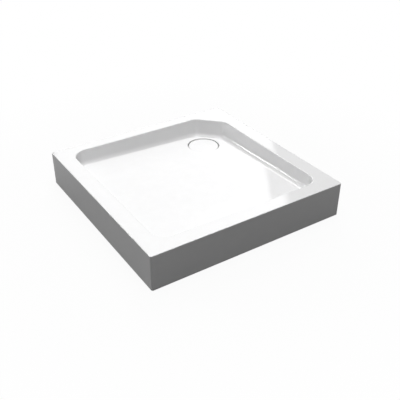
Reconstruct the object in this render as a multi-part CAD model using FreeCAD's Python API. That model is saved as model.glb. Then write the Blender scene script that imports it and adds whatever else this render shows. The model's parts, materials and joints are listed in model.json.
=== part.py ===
import FreeCAD, Part
import math
import os
from FreeCAD import Placement, Rotation, Vector

# Shower tray with a skirt on two sides, an adjustable leg set and a 90 mm waste.
# Origin: centre of the footprint, on the floor. +Z up. Millimetres.
# The two skirted sides face -X and -Y; the +X and +Y sides stand against the walls.

# Tray, overall
SIDE = 800.0
HEIGHT = 138.0
SHELL_T = 4.0
SKIRT_GAP = 2.0
OUTER_CORNER_R = 7.0
OUTER_EDGE_R = 2.0
WALL_FLANGE_H = 45.0
SKIRT_RETURN = 40.0

# Rim, its width on each side
RIM_LEFT = 63.5
RIM_FRONT = 58.0
RIM_RIGHT = 60.0
RIM_BACK = 50.0
RIM_ROUND = 3.5

# Bowl
BOWL_CORNER_R = 55.0
BOWL_CHAMFER = 95.0
CHAMFER_END_R = 42.0
WALL_DRAFT = math.radians(15.0)
FLOOR_FILLET = 20.0
WASTE_DEPTH = 65.9
FLOOR_FALL = 0.0272

# Reinforcement under the shell
GRP_T = 3.0
BOARD_T = 16.0
BOARD_EDGE_GAP = 3.0
BOARD_NOTCH_GAP = 15.0
BATTEN_W = 30.0
BATTEN_H = 18.0
BATTEN_END_GAP = 5.0

# Waste, measured from the bowl's edges at the rim
WASTE_IN_X = 129.0
WASTE_IN_Y = 120.0
HOLE_R = 45.0
RECESS_LAP = 11.0
RECESS_FILLET = 3.0
RECESS_ROUND = 1.5
COVER_GAP = 3.0
COVER_STEP = 1.2
COVER_T = 4.0
COVER_ROUND = 1.5
WATER_GAP = 4.0
COVER_POST_R = 3.0
COVER_POSTS = 4
COVER_TAB_T = 2.2
COVER_TAB_H = 6.5
COVER_TAB_PLAY = 0.8
COVER_SLOT_W = 26.0
FLANGE_LAP = 11.0
FLANGE_T = 2.5
SEAL_T = 1.5
LOWER_SEAL_T = 2.0
NECK_PLAY = 1.5
NECK_T = 3.5
NECK_ENGAGE = 13.0
NECK_LIP = 3.0

# Trap below the tray
TRAP_LAND = 10.5
TRAP_H = 44.0
TRAP_WALL = 4.0
TRAP_FLOOR_T = 3.0
TRAP_RIM_LAP = 4.0
TRAP_RIM_T = 4.0
TRAP_EDGE_R = 3.0
OUTLET_R = 20.0
OUTLET_T = 2.5
OUTLET_LENGTH = 155.0
OUTLET_SPIGOT = 50.0
OUTLET_ROOT = 1.0
OUTLET_COLLAR = 2.5
OUTLET_COLLAR_W = 3.0
OUTLET_LIFT = 1.5
WEIR_H = 16.0

# Water-seal insert and hair strainer
COLLAR_H = 12.0
TUBE_R = 30.0
TUBE_T = 2.5
TUBE_END_GAP = 6.0
ORING_R = 1.5
STRAINER_T = 2.0
STRAINER_PLAY = 1.0
STRAINER_HOLE_R = 2.4
STRAINER_RINGS = ((6, 10.0), (12, 16.5), (18, 23.0))
KNOB_R = 5.0
KNOB_H = 7.0

# Adjustable legs
LEG_INSET = 86.0
LEG_FROM_WASTE = 150.0
BRACKET_SIDE = 56.0
BRACKET_T = 4.0
BRACKET_CORNER_R = 6.0
BOSS_R = 13.0
BOSS_H = 14.0
RIB_T = 3.0
RIB_H = 11.5
STEM_R = 5.0
STEM_RISE = 2.0
STEM_ROOM = 14.0
STEM_ROOM_GAP = 1.5
NUT_AF = 17.0
NUT_H = 7.0
HEX_LAP = 1.5
HEX_H = 5.0
SPIGOT_R = 4.0
PAD_R = 25.0
PAD_H = 8.0
PAD_HUB_R = 9.0
PAD_HUB_H = 3.0
PAD_SOLE = 3.0
PAD_EDGE_R = 2.0
SCREW_R = 2.2
SCREW_LENGTH = 15.0
SCREW_HEAD_R = 4.2
SCREW_HEAD_H = 2.6
SCREW_INSET = 8.0

# Clearances
RUN_FIT = 0.06
SEAT_GAP = 0.2
SCREW_FIT = 0.05
ORING_FIT = 0.1
OVER = 10.0

# The bowl's edges at the rim, the waste's centre and the levels that hang from it
HALF = SIDE / 2
X_LOW = -HALF + RIM_LEFT
X_HIGH = HALF - RIM_RIGHT
Y_LOW = -HALF + RIM_FRONT
Y_HIGH = HALF - RIM_BACK
WASTE_X = X_HIGH - WASTE_IN_X
WASTE_Y = Y_HIGH - WASTE_IN_Y
FLANGE_R = HOLE_R + FLANGE_LAP
RECESS_R = FLANGE_R + RECESS_LAP
BOARD_NOTCH_R = RECESS_R + BOARD_NOTCH_GAP
NECK_R = HOLE_R - NECK_PLAY
NECK_IN_R = NECK_R - NECK_T
TRAP_R = NECK_R + TRAP_LAND
TRAP_RIM_R = TRAP_R + TRAP_RIM_LAP
SLOPE = math.sqrt(1 + 2 * FLOOR_FALL ** 2)
LOW_EDGE_Z = HEIGHT - WASTE_DEPTH - math.sqrt(2) * FLOOR_FALL * RECESS_R
COVER_Z = LOW_EDGE_Z - COVER_STEP - COVER_T
FLANGE_TOP_Z = COVER_Z - WATER_GAP
FLANGE_Z = FLANGE_TOP_Z - FLANGE_T
SEAT_Z = FLANGE_Z - SEAL_T
LAMINATE_Z = SEAT_Z - SHELL_T - GRP_T
TRAP_TOP_Z = LAMINATE_Z - LOWER_SEAL_T
TRAP_Z = TRAP_TOP_Z - TRAP_H
CHAMBER_Z = TRAP_Z + TRAP_FLOOR_T
NECK_Z = TRAP_TOP_Z - NECK_ENGAGE
LEDGE_Z = NECK_Z + NECK_LIP
COLLAR_TOP_Z = LEDGE_Z + COLLAR_H
BOARD_DROP = (SHELL_T + GRP_T) * SLOPE


def floor_z(x, y):
    """Height of the bowl's floor, which falls evenly towards the waste."""
    return HEIGHT - WASTE_DEPTH + FLOOR_FALL * (WASTE_X - x + WASTE_Y - y)


def board_z(x, y):
    """Height of the baseboard's underside."""
    return floor_z(x, y) - BOARD_DROP - BOARD_T * SLOPE


def cylinder(x, y, z_low, z_high, radius):
    return Part.makeCylinder(radius, z_high - z_low, Vector(x, y, z_low))


def tube(x, y, z_low, z_high, outer, inner):
    return cylinder(x, y, z_low, z_high, outer).cut(cylinder(x, y, z_low, z_high, inner))


def box(x_low, y_low, z_low, x_high, y_high, z_high):
    size = (x_high - x_low, y_high - y_low, z_high - z_low)
    return Part.makeBox(*size, Vector(x_low, y_low, z_low))


def hexagon(x, y, z_low, height, across_flats):
    """A hexagonal prism, two of its flats square to Y."""
    radius = across_flats / math.sqrt(3)
    turns = [math.radians(60 * step) for step in range(7)]
    points = [Vector(x + radius * math.cos(a), y + radius * math.sin(a), z_low) for a in turns]
    return Part.Face(Part.makePolygon(points)).extrude(Vector(0, 0, height))


def edges_where(shape, test):
    """The edges whose ends and middle all pass the test."""
    found = []
    for edge in shape.Edges:
        first, last = edge.ParameterRange
        points = [edge.valueAt(first), edge.valueAt((first + last) / 2), edge.valueAt(last)]
        if all(test(point) for point in points):
            found.append(edge)
    return found


def at_level(level):
    return lambda point: abs(point.z - level) < 0.01


def upright(shape):
    """The straight edges that run along Z."""
    def is_upright(edge):
        start, end = edge.Vertexes[0].Point, edge.Vertexes[-1].Point
        return abs(start.z - end.z) > 0.1 and math.hypot(start.x - end.x, start.y - end.y) < 0.01
    return [edge for edge in shape.Edges if is_upright(edge)]


def line_crossing(first, second):
    """Crossing of two lines, each a unit normal and its distance from the origin."""
    (nx, ny, d), (mx, my, e) = first, second
    cross = nx * my - ny * mx
    return ((d * my - e * ny) / cross, (nx * e - mx * d) / cross)


def grown(corners, grow):
    """A counter-clockwise outline of (x, y, corner radius) moved outwards by grow."""
    lines = []
    for (x0, y0, _), (x1, y1, _) in zip(corners, corners[1:] + corners[:1]):
        length = math.hypot(x1 - x0, y1 - y0)
        nx, ny = (y1 - y0) / length, -(x1 - x0) / length
        lines.append((nx, ny, x0 * nx + y0 * ny + grow))
    moved = []
    for index, (_, _, radius) in enumerate(corners):
        x, y = line_crossing(lines[index - 1], lines[index])
        moved.append((x, y, radius + grow))
    return moved


def rounded_wire(corners, z):
    """A closed outline at height z from (x, y, corner radius) corners."""
    arcs = []
    for index, (x, y, radius) in enumerate(corners):
        here = Vector(x, y, z)
        before = Vector(*corners[index - 1][:2], z) - here
        after = Vector(*corners[(index + 1) % len(corners)][:2], z) - here
        before.normalize()
        after.normalize()
        half = before.getAngle(after) / 2
        inward = before + after
        inward.normalize()
        reach = radius / math.tan(half)
        middle = here + inward * (radius / math.sin(half) - radius)
        arcs.append((here + before * reach, middle, here + after * reach))
    edges = []
    for index, (start, middle, end) in enumerate(arcs):
        edges.append(Part.LineSegment(arcs[index - 1][2], start).toShape())
        edges.append(Part.Arc(start, middle, end).toShape())
    return Part.Wire(edges)


def prism(corners, z_low, z_high):
    face = Part.Face(rounded_wire(corners, z_low))
    return face.extrude(Vector(0, 0, z_high - z_low))


def bowl_corners():
    """The bowl's outline at the rim: three round corners and a cut one above the waste."""
    return [
        (X_LOW, Y_LOW, BOWL_CORNER_R),
        (X_HIGH, Y_LOW, BOWL_CORNER_R),
        (X_HIGH, Y_HIGH - BOWL_CHAMFER, CHAMFER_END_R),
        (X_HIGH - BOWL_CHAMFER, Y_HIGH, CHAMFER_END_R),
        (X_LOW, Y_HIGH, BOWL_CORNER_R),
    ]


def square_corners(half, radius):
    return [(-half, -half, radius), (half, -half, radius), (half, half, radius), (-half, half, radius)]


def sloping_slab(drop, thickness):
    """A slab parallel to the floor, its top lying drop below the floor."""
    reach = SIDE
    places = [(-reach, -reach), (reach, -reach), (reach, reach), (-reach, reach), (-reach, -reach)]
    points = [Vector(x, y, floor_z(x, y) - drop) for x, y in places]
    return Part.Face(Part.makePolygon(points)).extrude(Vector(0, 0, -thickness))


def bowl_space(grow):
    """The bowl's inside with every face moved outwards by grow, open above the rim."""
    def outline(z):
        shift = grow / math.cos(WALL_DRAFT) - (HEIGHT - z) * math.tan(WALL_DRAFT)
        return rounded_wire(grown(bowl_corners(), shift), z)

    top = HEIGHT + OVER
    low = HEIGHT - WASTE_DEPTH - 2 * OVER
    walls = Part.makeLoft([outline(top), outline(low)], True, True)
    drop = grow * SLOPE
    space = walls.cut(sloping_slab(drop, HEIGHT))
    edges = edges_where(space, lambda p: abs(p.z - floor_z(p.x, p.y) + drop) < 0.01)
    return space.makeFillet(FLOOR_FILLET + grow, edges)


def recess_space(grow):
    """The round recess under the waste cover, swollen by grow like the bowl."""
    low = SEAT_Z - grow
    space = cylinder(WASTE_X, WASTE_Y, low, floor_z(WASTE_X, WASTE_Y) + OVER, RECESS_R + grow)
    return space.makeFillet(RECESS_FILLET + grow, edges_where(space, at_level(low)))


def hollow(grow):
    return bowl_space(grow).fuse(recess_space(grow)).removeSplitter()


def below(shape, level):
    """The part of a shape that lies under a level."""
    return shape.common(box(-SIDE, -SIDE, -SIDE, SIDE, SIDE, level))


def waste_hole(z_low, z_high):
    return cylinder(WASTE_X, WASTE_Y, z_low, z_high, HOLE_R)


def outer_block():
    """The tray's outside before it is hollowed."""
    block = box(-HALF, -HALF, SKIRT_GAP, HALF, HALF, HEIGHT)
    block = block.makeFillet(OUTER_CORNER_R, upright(block))
    return block.makeFillet(OUTER_EDGE_R, edges_where(block, at_level(HEIGHT)))


def wall_side_cuts():
    """What the skirt leaves out under the short flange on the two wall sides."""
    start = -HALF + SKIRT_RETURN
    inside = HALF - SHELL_T - OUTER_CORNER_R
    top = HEIGHT - WALL_FLANGE_H
    along_x = box(start, inside, 0, HALF + OVER, HALF + OVER, top)
    along_y = box(inside, start, 0, HALF + OVER, HALF + OVER, top)
    return along_x.fuse(along_y)


def tray_shell():
    inner = square_corners(HALF - SHELL_T, OUTER_CORNER_R - SHELL_T)
    skin = outer_block().cut(prism(inner, -OVER, HEIGHT - SHELL_T))
    skin = skin.cut(wall_side_cuts())
    pan = below(hollow(SHELL_T), HEIGHT - SHELL_T / 2)
    shell = skin.fuse(pan).cut(hollow(0)).cut(waste_hole(0, HEIGHT)).removeSplitter()
    shell = shell.makeFillet(RECESS_ROUND, edges_where(shell, on_recess_mouth))
    return shell.makeFillet(RIM_ROUND, edges_where(shell, on_bowl_edge))


def on_recess_mouth(point):
    away = math.hypot(point.x - WASTE_X, point.y - WASTE_Y) - RECESS_R
    return abs(away) < 0.01 and abs(point.z - floor_z(point.x, point.y)) < 0.01


def on_bowl_edge(point):
    """Whether a point lies on the rim's inner edge."""
    inside = max(abs(point.x), abs(point.y)) < HALF - OUTER_CORNER_R - OVER
    return abs(point.z - HEIGHT) < 0.01 and inside


def grp_backing():
    """Glass-fibre layer laminated under the rim and round the bowl."""
    top = HEIGHT - SHELL_T
    inner = square_corners(HALF - SHELL_T, OUTER_CORNER_R - SHELL_T)
    rim = prism(inner, top - GRP_T, top)
    layer = rim.fuse(below(hollow(SHELL_T + GRP_T), top - GRP_T / 2))
    return layer.cut(hollow(SHELL_T)).cut(waste_hole(0, HEIGHT)).removeSplitter()


def floor_inset():
    """How far the flat floor's edge lies inside the bowl's edge at the deepest place."""
    wall = WASTE_DEPTH * math.tan(WALL_DRAFT)
    return wall + FLOOR_FILLET * math.tan((math.pi / 2 - WALL_DRAFT) / 2)


def board_notch():
    """The corner left out of the baseboard for the waste."""
    low, high = 0, HEIGHT
    notch = cylinder(WASTE_X, WASTE_Y, low, high, BOARD_NOTCH_R)
    notch = notch.fuse(box(WASTE_X, WASTE_Y - BOARD_NOTCH_R, low, HALF, HALF, high))
    return notch.fuse(box(WASTE_X - BOARD_NOTCH_R, WASTE_Y, low, HALF, HALF, high))


def baseboard(legs):
    outline = grown(bowl_corners(), -(floor_inset() + BOARD_EDGE_GAP))
    corners = [(x, y, max(radius, RIM_ROUND)) for x, y, radius in outline]
    board = sloping_slab(BOARD_DROP, BOARD_T * SLOPE).common(prism(corners, 0, HEIGHT))
    board = board.cut(board_notch())
    for x, y in legs:
        under = board_z(x, y)
        board = board.cut(cylinder(x, y, under - OVER, under + STEM_ROOM, STEM_R + STEM_ROOM_GAP))
        for hole in bracket_screw_places(x, y):
            board = board.cut(hole.copy_of(cylinder(0, 0, -OVER, SCREW_LENGTH, SCREW_R + SCREW_FIT)))
    return board


def battens():
    """Timber strips under the rim, one along each side, butted at the corners."""
    outer = HALF - SHELL_T
    inner = outer - BATTEN_W
    top = HEIGHT - SHELL_T - GRP_T
    low = top - BATTEN_H
    end = outer - BATTEN_END_GAP
    return {
        "batten_left": box(-outer, -end, low, -inner, end, top),
        "batten_right": box(inner, -end, low, outer, end, top),
        "batten_front": box(-inner, -outer, low, inner, -inner, top),
        "batten_back": box(-inner, inner, low, inner, outer, top),
    }


def leg_places():
    """Three corner legs, two beside the waste and one under the middle of the bowl."""
    left, right = X_LOW + LEG_INSET, X_HIGH - LEG_INSET
    front, back = Y_LOW + LEG_INSET, Y_HIGH - LEG_INSET
    return [
        (left, front),
        (right, front),
        (left, back),
        (right, WASTE_Y - LEG_FROM_WASTE),
        (WASTE_X - LEG_FROM_WASTE, back),
        ((X_LOW + X_HIGH) / 2, (Y_LOW + Y_HIGH) / 2),
    ]


class BoardPlace:
    """A place on the baseboard's underside, with its Z square to the board."""

    def __init__(self, x, y, u=0.0, v=0.0):
        tilt = Rotation(Vector(0, 0, 1), Vector(FLOOR_FALL, FLOOR_FALL, 1))
        centre = Vector(x, y, board_z(x, y))
        self.placement = Placement(centre, tilt).multiply(Placement(Vector(u, v, 0), Rotation()))

    def copy_of(self, shape):
        copy = shape.copy()
        copy.Placement = self.placement.multiply(copy.Placement)
        return copy


def bracket_screw_places(x, y):
    reach = BRACKET_SIDE / 2 - SCREW_INSET
    return [BoardPlace(x, y, u, v) for u in (-reach, reach) for v in (-reach, reach)]


def leg_bracket(x, y):
    """Moulded socket: a plate against the board and an upright boss with four ribs."""
    half = BRACKET_SIDE / 2
    under = board_z(x, y)
    place = BoardPlace(x, y)
    plate = place.copy_of(prism(square_corners(half, BRACKET_CORNER_R), -BRACKET_T, 0))
    low = under - BRACKET_T - BOSS_H
    bracket = cylinder(x, y, low, under + OVER, BOSS_R)
    for turn in range(4):
        bracket = bracket.fuse(rib(x, y, 90 * turn + 45))
    bracket = bracket.cut(sloping_slab(-OVER, OVER + BOARD_DROP + BOARD_T * SLOPE))
    bracket = bracket.fuse(plate).cut(cylinder(x, y, low - OVER, under + OVER, STEM_R + RUN_FIT))
    for hole in bracket_screw_places(x, y):
        shank = cylinder(0, 0, -BRACKET_T - OVER, OVER, SCREW_R + SCREW_FIT)
        bracket = bracket.cut(hole.copy_of(shank))
    return bracket.removeSplitter()


def rib(x, y, degrees):
    """A triangular web from the boss to the plate, clear of the screw heads."""
    screw_away = math.sqrt(2) * (BRACKET_SIDE / 2 - SCREW_INSET)
    reach = max(screw_away - SCREW_HEAD_R - SEAT_GAP, BOSS_R)
    top = board_z(x, y) - BRACKET_T / 2
    low = board_z(x, y) - BRACKET_T - RIB_H
    points = [Vector(0, 0, low), Vector(BOSS_R, 0, low), Vector(reach, 0, top), Vector(0, 0, top)]
    face = Part.Face(Part.makePolygon(points + points[:1]))
    web = face.extrude(Vector(0, RIB_T, 0))
    web.translate(Vector(0, -RIB_T / 2, 0))
    web.rotate(Vector(0, 0, 0), Vector(0, 0, 1), degrees)
    web.translate(Vector(x, y, 0))
    return web


def bracket_screws(legs):
    """Pan-head wood screws, four through each bracket into the board."""
    screws = []
    for x, y in legs:
        for place in bracket_screw_places(x, y):
            shank = cylinder(0, 0, -BRACKET_T, SCREW_LENGTH - SEAT_GAP - BRACKET_T, SCREW_R)
            low = -BRACKET_T - SCREW_HEAD_H
            head = cylinder(0, 0, low, -BRACKET_T, SCREW_HEAD_R)
            head = head.makeFillet(SCREW_HEAD_H / 3, edges_where(head, at_level(low)))
            screws.append(place.copy_of(shank.fuse(head).removeSplitter()))
    return Part.makeCompound(screws)


def boss_low(x, y):
    return board_z(x, y) - BRACKET_T - BOSS_H


def lock_nuts(legs):
    nuts = []
    for x, y in legs:
        top = boss_low(x, y)
        nut = hexagon(x, y, top - NUT_H, NUT_H, NUT_AF)
        nuts.append(nut.cut(cylinder(x, y, top - NUT_H, top, STEM_R + RUN_FIT)))
    return Part.makeCompound(nuts)


def leg_stem(x, y):
    """Threaded rod cut to reach the board, with spanner flats and a spigot in the pad."""
    shoulder = PAD_H + PAD_HUB_H + SEAT_GAP
    spigot = cylinder(x, y, PAD_SOLE + SEAT_GAP, shoulder, SPIGOT_R)
    flats = hexagon(x, y, shoulder, HEX_H, 2 * (STEM_R + HEX_LAP))
    rod = cylinder(x, y, shoulder + HEX_H, board_z(x, y) + STEM_RISE, STEM_R)
    rod = rod.makeChamfer(STEM_R / 5, edges_where(rod, at_level(board_z(x, y) + STEM_RISE)))
    return spigot.fuse(flats).fuse(rod).removeSplitter()


def foot_pad(x, y):
    pad = cylinder(x, y, 0, PAD_H, PAD_R)
    pad = pad.makeFillet(PAD_EDGE_R, edges_where(pad, at_level(PAD_H)))
    pad = pad.fuse(cylinder(x, y, PAD_H / 2, PAD_H + PAD_HUB_H, PAD_HUB_R))
    return pad.cut(cylinder(x, y, PAD_SOLE, PAD_H + PAD_HUB_H, SPIGOT_R + RUN_FIT)).removeSplitter()


def waste_cover():
    """Round flush disc on four posts, with slotted tabs that centre it in the neck."""
    radius = RECESS_R - COVER_GAP
    top = COVER_Z + COVER_T
    disc = cylinder(WASTE_X, WASTE_Y, COVER_Z, top, radius)
    disc = disc.makeFillet(COVER_ROUND, edges_where(disc, at_level(top)))
    tab_r = NECK_IN_R - COVER_TAB_PLAY
    tabs = tube(WASTE_X, WASTE_Y, COVER_Z - COVER_TAB_H, COVER_Z, tab_r, tab_r - COVER_TAB_T)
    slot = COVER_SLOT_W / 2
    low = COVER_Z - COVER_TAB_H
    tabs = tabs.cut(box(WASTE_X - slot, -HALF, low, WASTE_X + slot, HALF, COVER_Z))
    tabs = tabs.cut(box(-HALF, WASTE_Y - slot, low, HALF, WASTE_Y + slot, COVER_Z))
    cover = disc.fuse(tabs)
    post_circle = (FLANGE_R + NECK_R) / 2
    for step in range(COVER_POSTS):
        turn = 2 * math.pi * step / COVER_POSTS
        x = WASTE_X + post_circle * math.cos(turn)
        y = WASTE_Y + post_circle * math.sin(turn)
        cover = cover.fuse(cylinder(x, y, FLANGE_TOP_Z, COVER_Z, COVER_POST_R))
    return cover.removeSplitter()


def waste_flange():
    """Ring that clamps the tray's seat, with a neck screwed into the trap."""
    ring = cylinder(WASTE_X, WASTE_Y, FLANGE_Z, FLANGE_TOP_Z, FLANGE_R)
    ring = ring.makeFillet(FLANGE_T / 3, edges_where(ring, at_level(FLANGE_TOP_Z)))
    neck = cylinder(WASTE_X, WASTE_Y, NECK_Z, FLANGE_TOP_Z, NECK_R)
    flange = ring.fuse(neck).cut(cylinder(WASTE_X, WASTE_Y, LEDGE_Z, FLANGE_TOP_Z, NECK_IN_R))
    return flange.cut(cylinder(WASTE_X, WASTE_Y, NECK_Z, LEDGE_Z, NECK_IN_R - NECK_LIP)).removeSplitter()


def upper_seal():
    return tube(WASTE_X, WASTE_Y, SEAT_Z, FLANGE_Z, FLANGE_R, HOLE_R + SEAL_T)


def lower_seal():
    return tube(WASTE_X, WASTE_Y, TRAP_TOP_Z, LAMINATE_Z, TRAP_RIM_R, HOLE_R + SEAL_T)


def trap_body():
    """Flat round trap, open above; its side outlet is a spigot with a stop collar, over a weir."""
    shell = cylinder(WASTE_X, WASTE_Y, TRAP_Z, TRAP_TOP_Z, TRAP_R)
    shell = shell.makeFillet(TRAP_EDGE_R, edges_where(shell, at_level(TRAP_Z)))
    rim = cylinder(WASTE_X, WASTE_Y, TRAP_TOP_Z - TRAP_RIM_T, TRAP_TOP_Z, TRAP_RIM_R)
    chamber_r = TRAP_R - TRAP_WALL
    chamber = cylinder(WASTE_X, WASTE_Y, CHAMBER_Z, NECK_Z, chamber_r)
    mouth = cylinder(WASTE_X, WASTE_Y, NECK_Z, TRAP_TOP_Z, NECK_R + RUN_FIT)
    axis_z = TRAP_Z + OUTLET_LIFT + OUTLET_R
    stop = OUTLET_LENGTH - OUTLET_SPIGOT
    pipe = sideways(chamber_r, stop, axis_z, OUTLET_R + OUTLET_ROOT)
    pipe = pipe.fuse(sideways(stop - OUTLET_COLLAR_W, stop, axis_z, OUTLET_R + OUTLET_COLLAR))
    pipe = pipe.fuse(sideways(stop, OUTLET_LENGTH, axis_z, OUTLET_R))
    bore = sideways(TRAP_R, OUTLET_LENGTH, axis_z, OUTLET_R - OUTLET_T)
    weir_z = CHAMBER_Z + WEIR_H
    gate = sideways(0, TRAP_R + OUTLET_T, axis_z, OUTLET_R - OUTLET_T)
    gate = gate.common(box(-SIDE, -SIDE, weir_z, SIDE, SIDE, NECK_Z))
    body = shell.fuse(rim).fuse(pipe).cut(chamber).cut(mouth)
    return body.cut(bore).cut(gate).removeSplitter()


def sideways(near, far, z, radius):
    """A cylinder along +Y from the waste's axis."""
    return Part.makeCylinder(radius, far - near, Vector(WASTE_X, WASTE_Y + near, z), Vector(0, 1, 0))


def insert_tube():
    """Lift-out water-seal insert: a collar on the neck's ledge and a dip tube."""
    collar_r = NECK_IN_R - RUN_FIT
    collar = cylinder(WASTE_X, WASTE_Y, LEDGE_Z, COLLAR_TOP_Z, collar_r)
    middle = LEDGE_Z + COLLAR_H / 2
    groove_r = collar_r - 2 * ORING_R - ORING_FIT
    half = ORING_R + ORING_FIT
    groove = tube(WASTE_X, WASTE_Y, middle - half, middle + half, NECK_R, groove_r)
    dip = cylinder(WASTE_X, WASTE_Y, CHAMBER_Z + TUBE_END_GAP, LEDGE_Z, TUBE_R)
    insert = collar.cut(groove).fuse(dip)
    low = CHAMBER_Z + TUBE_END_GAP
    return insert.cut(cylinder(WASTE_X, WASTE_Y, low, COLLAR_TOP_Z, TUBE_R - TUBE_T)).removeSplitter()


def insert_oring():
    ring = Part.makeTorus(NECK_IN_R - RUN_FIT - ORING_R, ORING_R)
    ring.translate(Vector(WASTE_X, WASTE_Y, LEDGE_Z + COLLAR_H / 2))
    return ring


def hair_strainer():
    """Perforated disc on the insert's collar, lifted by its knob."""
    radius = NECK_IN_R - STRAINER_PLAY
    low = COLLAR_TOP_Z
    plate = cylinder(WASTE_X, WASTE_Y, low, low + STRAINER_T, radius)
    for count, circle in STRAINER_RINGS:
        for step in range(count):
            turn = 2 * math.pi * step / count
            x = WASTE_X + circle * math.cos(turn)
            y = WASTE_Y + circle * math.sin(turn)
            plate = plate.cut(cylinder(x, y, low, low + STRAINER_T, STRAINER_HOLE_R))
    knob = cylinder(WASTE_X, WASTE_Y, low, low + KNOB_H, KNOB_R)
    knob = knob.makeFillet(KNOB_R / 4, edges_where(knob, at_level(low + KNOB_H)))
    return plate.fuse(knob).removeSplitter()


def build():
    legs = leg_places()
    nodes = {
        "tray_shell": tray_shell(),
        "grp_backing": grp_backing(),
        "baseboard": baseboard(legs),
        "bracket_screws": bracket_screws(legs),
        "lock_nuts": lock_nuts(legs),
        "waste_cover": waste_cover(),
        "hair_strainer": hair_strainer(),
        "insert_tube": insert_tube(),
        "insert_oring": insert_oring(),
        "waste_flange": waste_flange(),
        "upper_seal": upper_seal(),
        "lower_seal": lower_seal(),
        "trap_body": trap_body(),
    }
    nodes.update(battens())
    for number, (x, y) in enumerate(legs, start=1):
        nodes[f"leg_bracket_{number}"] = leg_bracket(x, y)
        nodes[f"leg_stem_{number}"] = leg_stem(x, y)
        nodes[f"foot_pad_{number}"] = foot_pad(x, y)
    return nodes


os.makedirs("parts", exist_ok=True)
for name, shape in build().items():
    shape.exportStep(f"parts/{name}.step")
    box_of = shape.BoundBox
    print(
        f"{name:18s} solids {len(shape.Solids):2d} valid {shape.isValid()} "
        f"volume {shape.Volume / 1000:9.2f} cm3 z {box_of.ZMin:7.2f} to {box_of.ZMax:7.2f}"
    )
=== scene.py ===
import json
import math

import bmesh
import bpy
from mathutils import Matrix, Vector

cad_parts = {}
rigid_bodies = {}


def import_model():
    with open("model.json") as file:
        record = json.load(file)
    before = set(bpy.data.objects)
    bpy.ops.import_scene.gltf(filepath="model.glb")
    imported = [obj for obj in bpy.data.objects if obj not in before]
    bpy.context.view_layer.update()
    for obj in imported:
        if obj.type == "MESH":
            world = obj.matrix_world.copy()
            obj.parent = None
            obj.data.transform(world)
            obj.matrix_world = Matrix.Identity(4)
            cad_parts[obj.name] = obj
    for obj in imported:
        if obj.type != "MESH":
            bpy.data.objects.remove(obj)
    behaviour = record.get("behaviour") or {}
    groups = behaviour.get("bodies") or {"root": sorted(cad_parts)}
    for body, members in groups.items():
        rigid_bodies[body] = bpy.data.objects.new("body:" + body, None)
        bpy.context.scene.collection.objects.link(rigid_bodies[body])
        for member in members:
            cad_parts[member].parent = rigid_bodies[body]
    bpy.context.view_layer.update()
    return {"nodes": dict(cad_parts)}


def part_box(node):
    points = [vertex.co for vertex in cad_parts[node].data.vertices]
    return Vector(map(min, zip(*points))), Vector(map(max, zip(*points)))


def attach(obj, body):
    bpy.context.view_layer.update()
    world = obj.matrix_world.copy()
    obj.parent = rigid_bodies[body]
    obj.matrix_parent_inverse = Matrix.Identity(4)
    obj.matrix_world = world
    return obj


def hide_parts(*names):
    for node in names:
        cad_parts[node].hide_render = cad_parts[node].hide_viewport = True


# Square shower tray with a skirt on its two room sides, on a framed board with six screw feet,
# and a flat trap under a round flush waste. Lengths are in metres, in the frame's own axes.
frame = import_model()


# Tray shell: one sheet of white acrylic, softened and drawn over a mould, then trimmed along its
# skirt and drilled for the waste. It is glossy, and keeps the faint waves of a drawn sheet.
def add_node(tree, kind, inputs=(), **settings):
    """A new node with its settings and inputs, each a value or a socket to link from."""
    node = tree.nodes.new(kind)
    for name, value in settings.items():
        setattr(node, name, value)
    for key, value in dict(inputs).items():
        if isinstance(value, bpy.types.NodeSocket):
            tree.links.new(value, node.inputs[key])
        else:
            node.inputs[key].default_value = value
    return node


def arithmetic(tree, operation, first, second=0.0):
    """A sum of two numbers, each a value or a socket."""
    return add_node(tree, "ShaderNodeMath", {0: first, 1: second}, operation=operation).outputs[0]


def spread(tree, value, low, high, to_low, to_high):
    """A value between low and high brought to between to_low and to_high."""
    inputs = {"Value": value, "From Min": low, "From Max": high, "To Min": to_low, "To Max": to_high}
    return add_node(tree, "ShaderNodeMapRange", inputs).outputs[0]


def cloud(tree, vector, size, detail=2.0):
    """Smooth noise whose blotches are about size across: a number, or a socket."""
    if isinstance(size, bpy.types.NodeSocket):
        scale = arithmetic(tree, "DIVIDE", 1.0, size)
    else:
        scale = 1.0 / size
    inputs = {"Vector": vector, "Scale": scale, "Detail": detail}
    return add_node(tree, "ShaderNodeTexNoise", inputs).outputs[0]


def parts_of(tree, vector):
    """The three parts of a vector or a colour."""
    return add_node(tree, "ShaderNodeSeparateXYZ", {0: vector}).outputs


def tint(tree, share, first, second):
    """A colour between two, each (r, g, b) or a socket."""
    colours = [c if isinstance(c, bpy.types.NodeSocket) else (*c, 1.0) for c in (first, second)]
    inputs = {0: share, 6: colours[0], 7: colours[1]}
    return add_node(tree, "ShaderNodeMix", inputs, data_type="RGBA").outputs[2]


def effect(name, inputs, outputs):
    """An empty shader node group with named sockets: (tree, what comes in, what goes out)."""
    tree = bpy.data.node_groups.new(name, "ShaderNodeTree")
    for label, kind, value in inputs:
        socket = tree.interface.new_socket(name=label, in_out="INPUT", socket_type=kind)
        if value is not None:
            socket.default_value = value
    for label in outputs:
        tree.interface.new_socket(name=label, in_out="OUTPUT", socket_type="NodeSocketFloat")
    return tree, tree.nodes.new("NodeGroupInput").outputs, tree.nodes.new("NodeGroupOutput").inputs


def place_effect(tree, group, vector, inputs):
    """An effect's outputs on a vector, with the other inputs that it gets in this material."""
    return add_node(tree, "ShaderNodeGroup", {"Vector": vector, **inputs}, node_tree=group).outputs


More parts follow.
